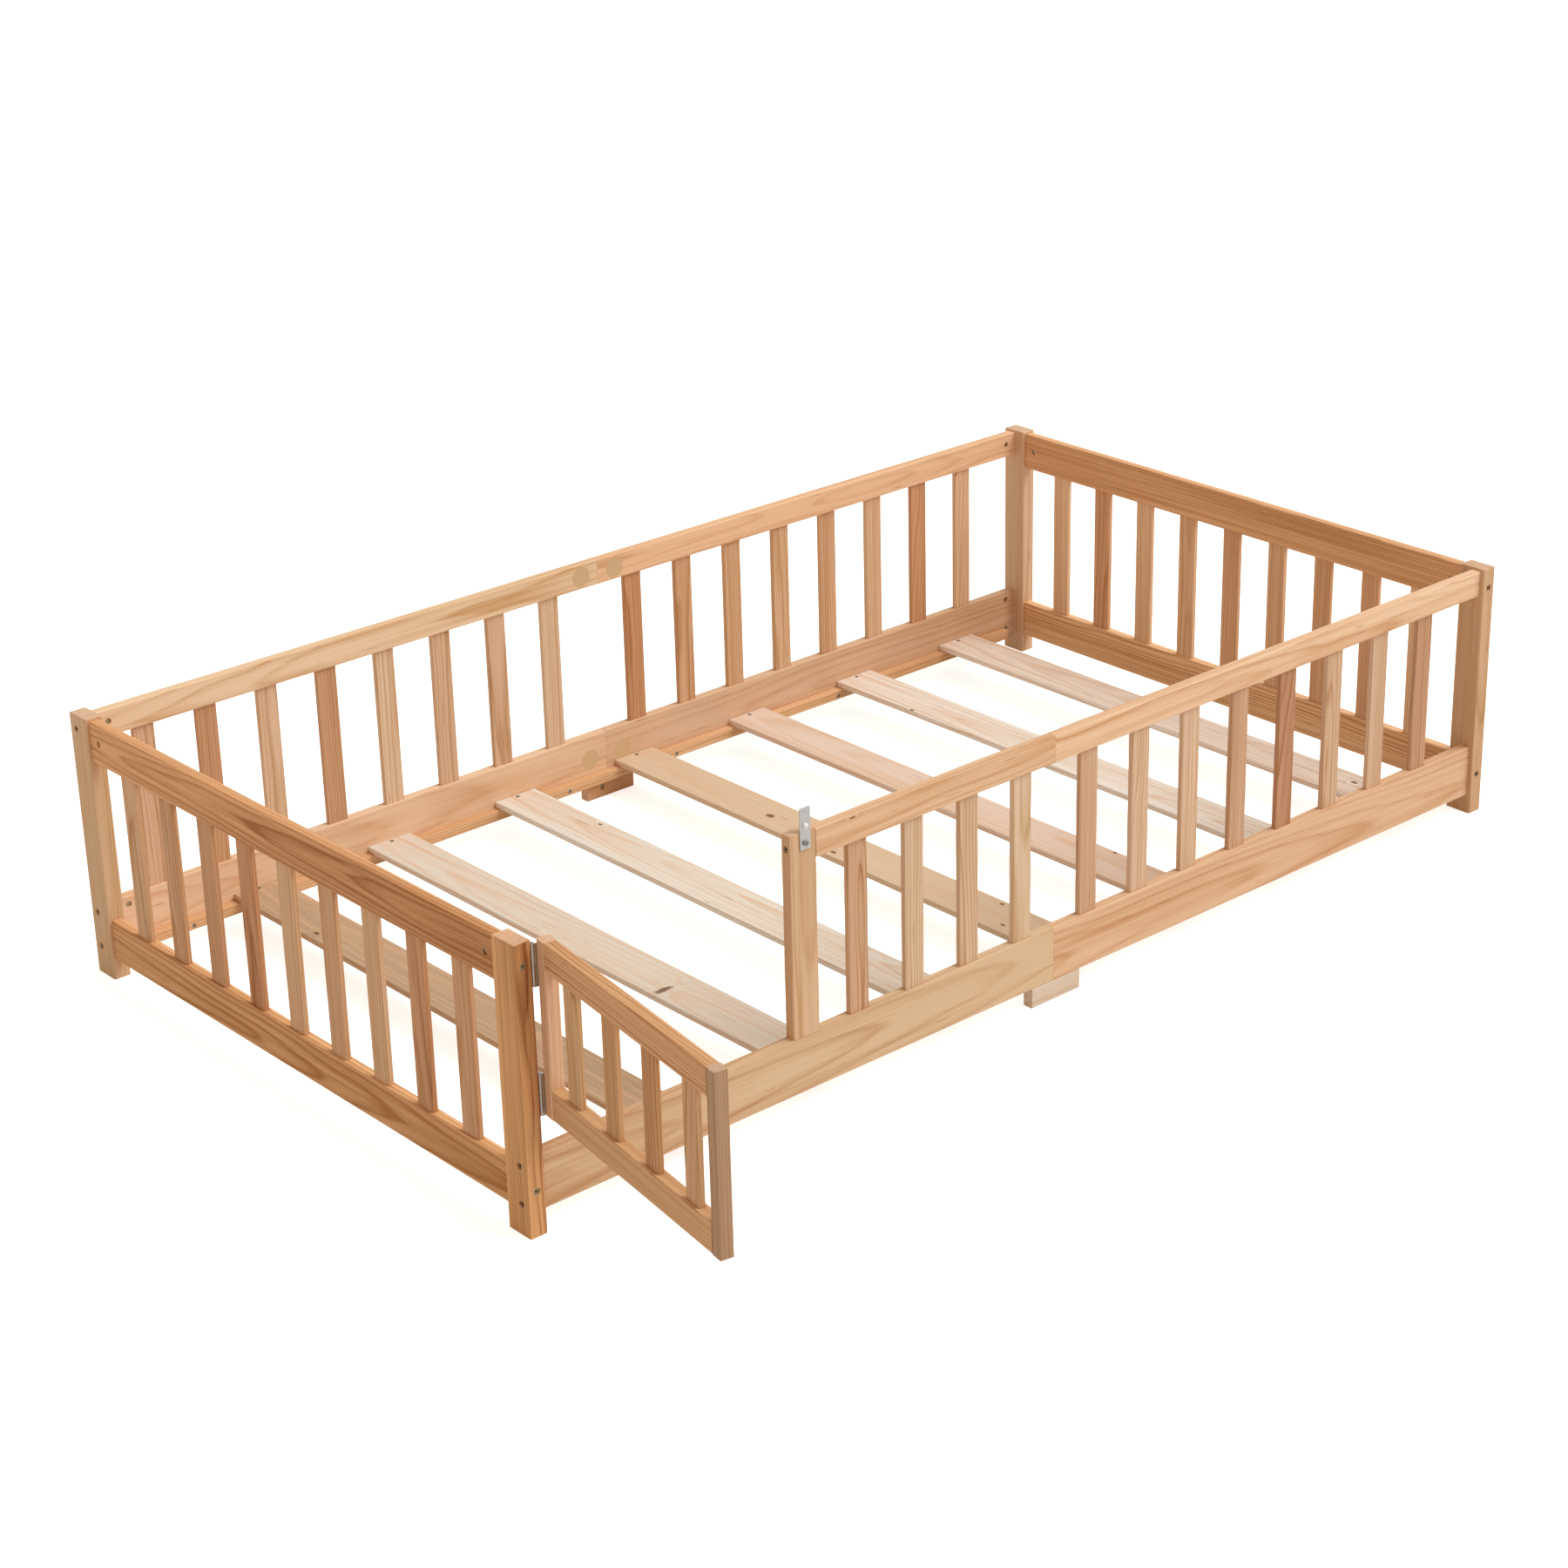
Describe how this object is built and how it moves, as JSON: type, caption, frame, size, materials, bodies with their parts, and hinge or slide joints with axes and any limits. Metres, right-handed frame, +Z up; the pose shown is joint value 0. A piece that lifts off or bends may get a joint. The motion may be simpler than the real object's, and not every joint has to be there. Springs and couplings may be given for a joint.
{
  "type": "toddler floor bed",
  "caption": "Low pine toddler floor bed with slats, fence rails of flat balusters all round and a small hinged side gate with a turning latch.",
  "frame": {"origin": "on the floor, at the centre of the object's box with the gate open as it stands at rest", "axes": "+X along the bed from the foot end (gate hinge end) to the head end, +Y from the gate side to the back, +Z up"},
  "size_m": [2.0327, 1.5357, 0.467],
  "materials": {
    "pine": "clear satin lacquer on solid pine",
    "beech": "bare turned hardwood",
    "zinc_steel": "bright zinc plate",
    "hinge_steel": "satin nickel plate",
    "latch_aluminium": "satin sheet",
    "white_plastic": "smooth moulded",
    "tan_plastic": "matt moulded, wood coloured"
  },
  "bodies": {
    "frame": {"back_balusters_foot_half": "pine", "back_balusters_head_half": "pine", "back_lower_rail_foot_half": "pine", "back_lower_rail_head_half": "pine", "back_top_rail_foot_half": "pine", "back_top_rail_head_half": "pine", "barrel_nuts": "zinc_steel", "connector_bolts": "zinc_steel", "connector_caps": "tan_plastic", "connector_nuts": "zinc_steel", "foot_balusters": "pine", "foot_lower_rail": "pine", "foot_top_rail": "pine", "front_balusters_foot_half": "pine", "front_balusters_head_half": "pine", "front_lower_rail_foot_half": "pine", "front_lower_rail_head_half": "pine", "front_top_rail_foot_half": "pine", "front_top_rail_head_half": "pine", "gate_post": "pine", "gate_post_dowels": "beech", "head_balusters": "pine", "head_lower_rail": "pine", "head_top_rail": "pine", "hinge_pins": "hinge_steel", "hinge_post_leaves": "hinge_steel", "hinge_post_screws": "zinc_steel", "latch_pivot_screw": "zinc_steel", "ledger_back_foot_half": "pine", "ledger_back_head_half": "pine", "ledger_front_foot_half": "pine", "ledger_front_head_half": "pine", "ledger_screws": "zinc_steel", "long_bolts": "zinc_steel", "mid_foot_back": "pine", "mid_foot_front": "pine", "mid_foot_studs": "zinc_steel", "post_foot_back": "pine", "post_foot_front": "pine", "post_head_back": "pine", "post_head_front": "pine", "short_bolts": "zinc_steel", "slat_1": "pine", "slat_2": "pine", "slat_3": "pine", "slat_4": "pine", "slat_5": "pine", "slat_6": "pine", "slat_7": "pine", "slat_screws": "zinc_steel"},
    "gate": {"gate_balusters": "pine", "gate_bottom_rail": "pine", "gate_hinge_stile": "pine", "gate_latch_stile": "pine", "gate_top_rail": "pine", "hinge_gate_leaves": "hinge_steel", "hinge_gate_screws": "zinc_steel"},
    "latch": {"latch_plate": "latch_aluminium", "latch_button": "white_plastic"}
  },
  "joints": [
    {"name": "gate_hinge", "type": "hinge", "parent": "frame", "child": "gate", "pos_m": [-0.95202, -0.32904, 0.3035], "axis": [0, 0, 1], "range_deg": [-76, 99]},
    {"name": "latch_turn", "type": "hinge", "parent": "frame", "child": "latch", "pos_m": [-0.48252, -0.3251, 0.414], "axis": [0, -1, 0], "range_deg": [0, 90]}
  ]
}
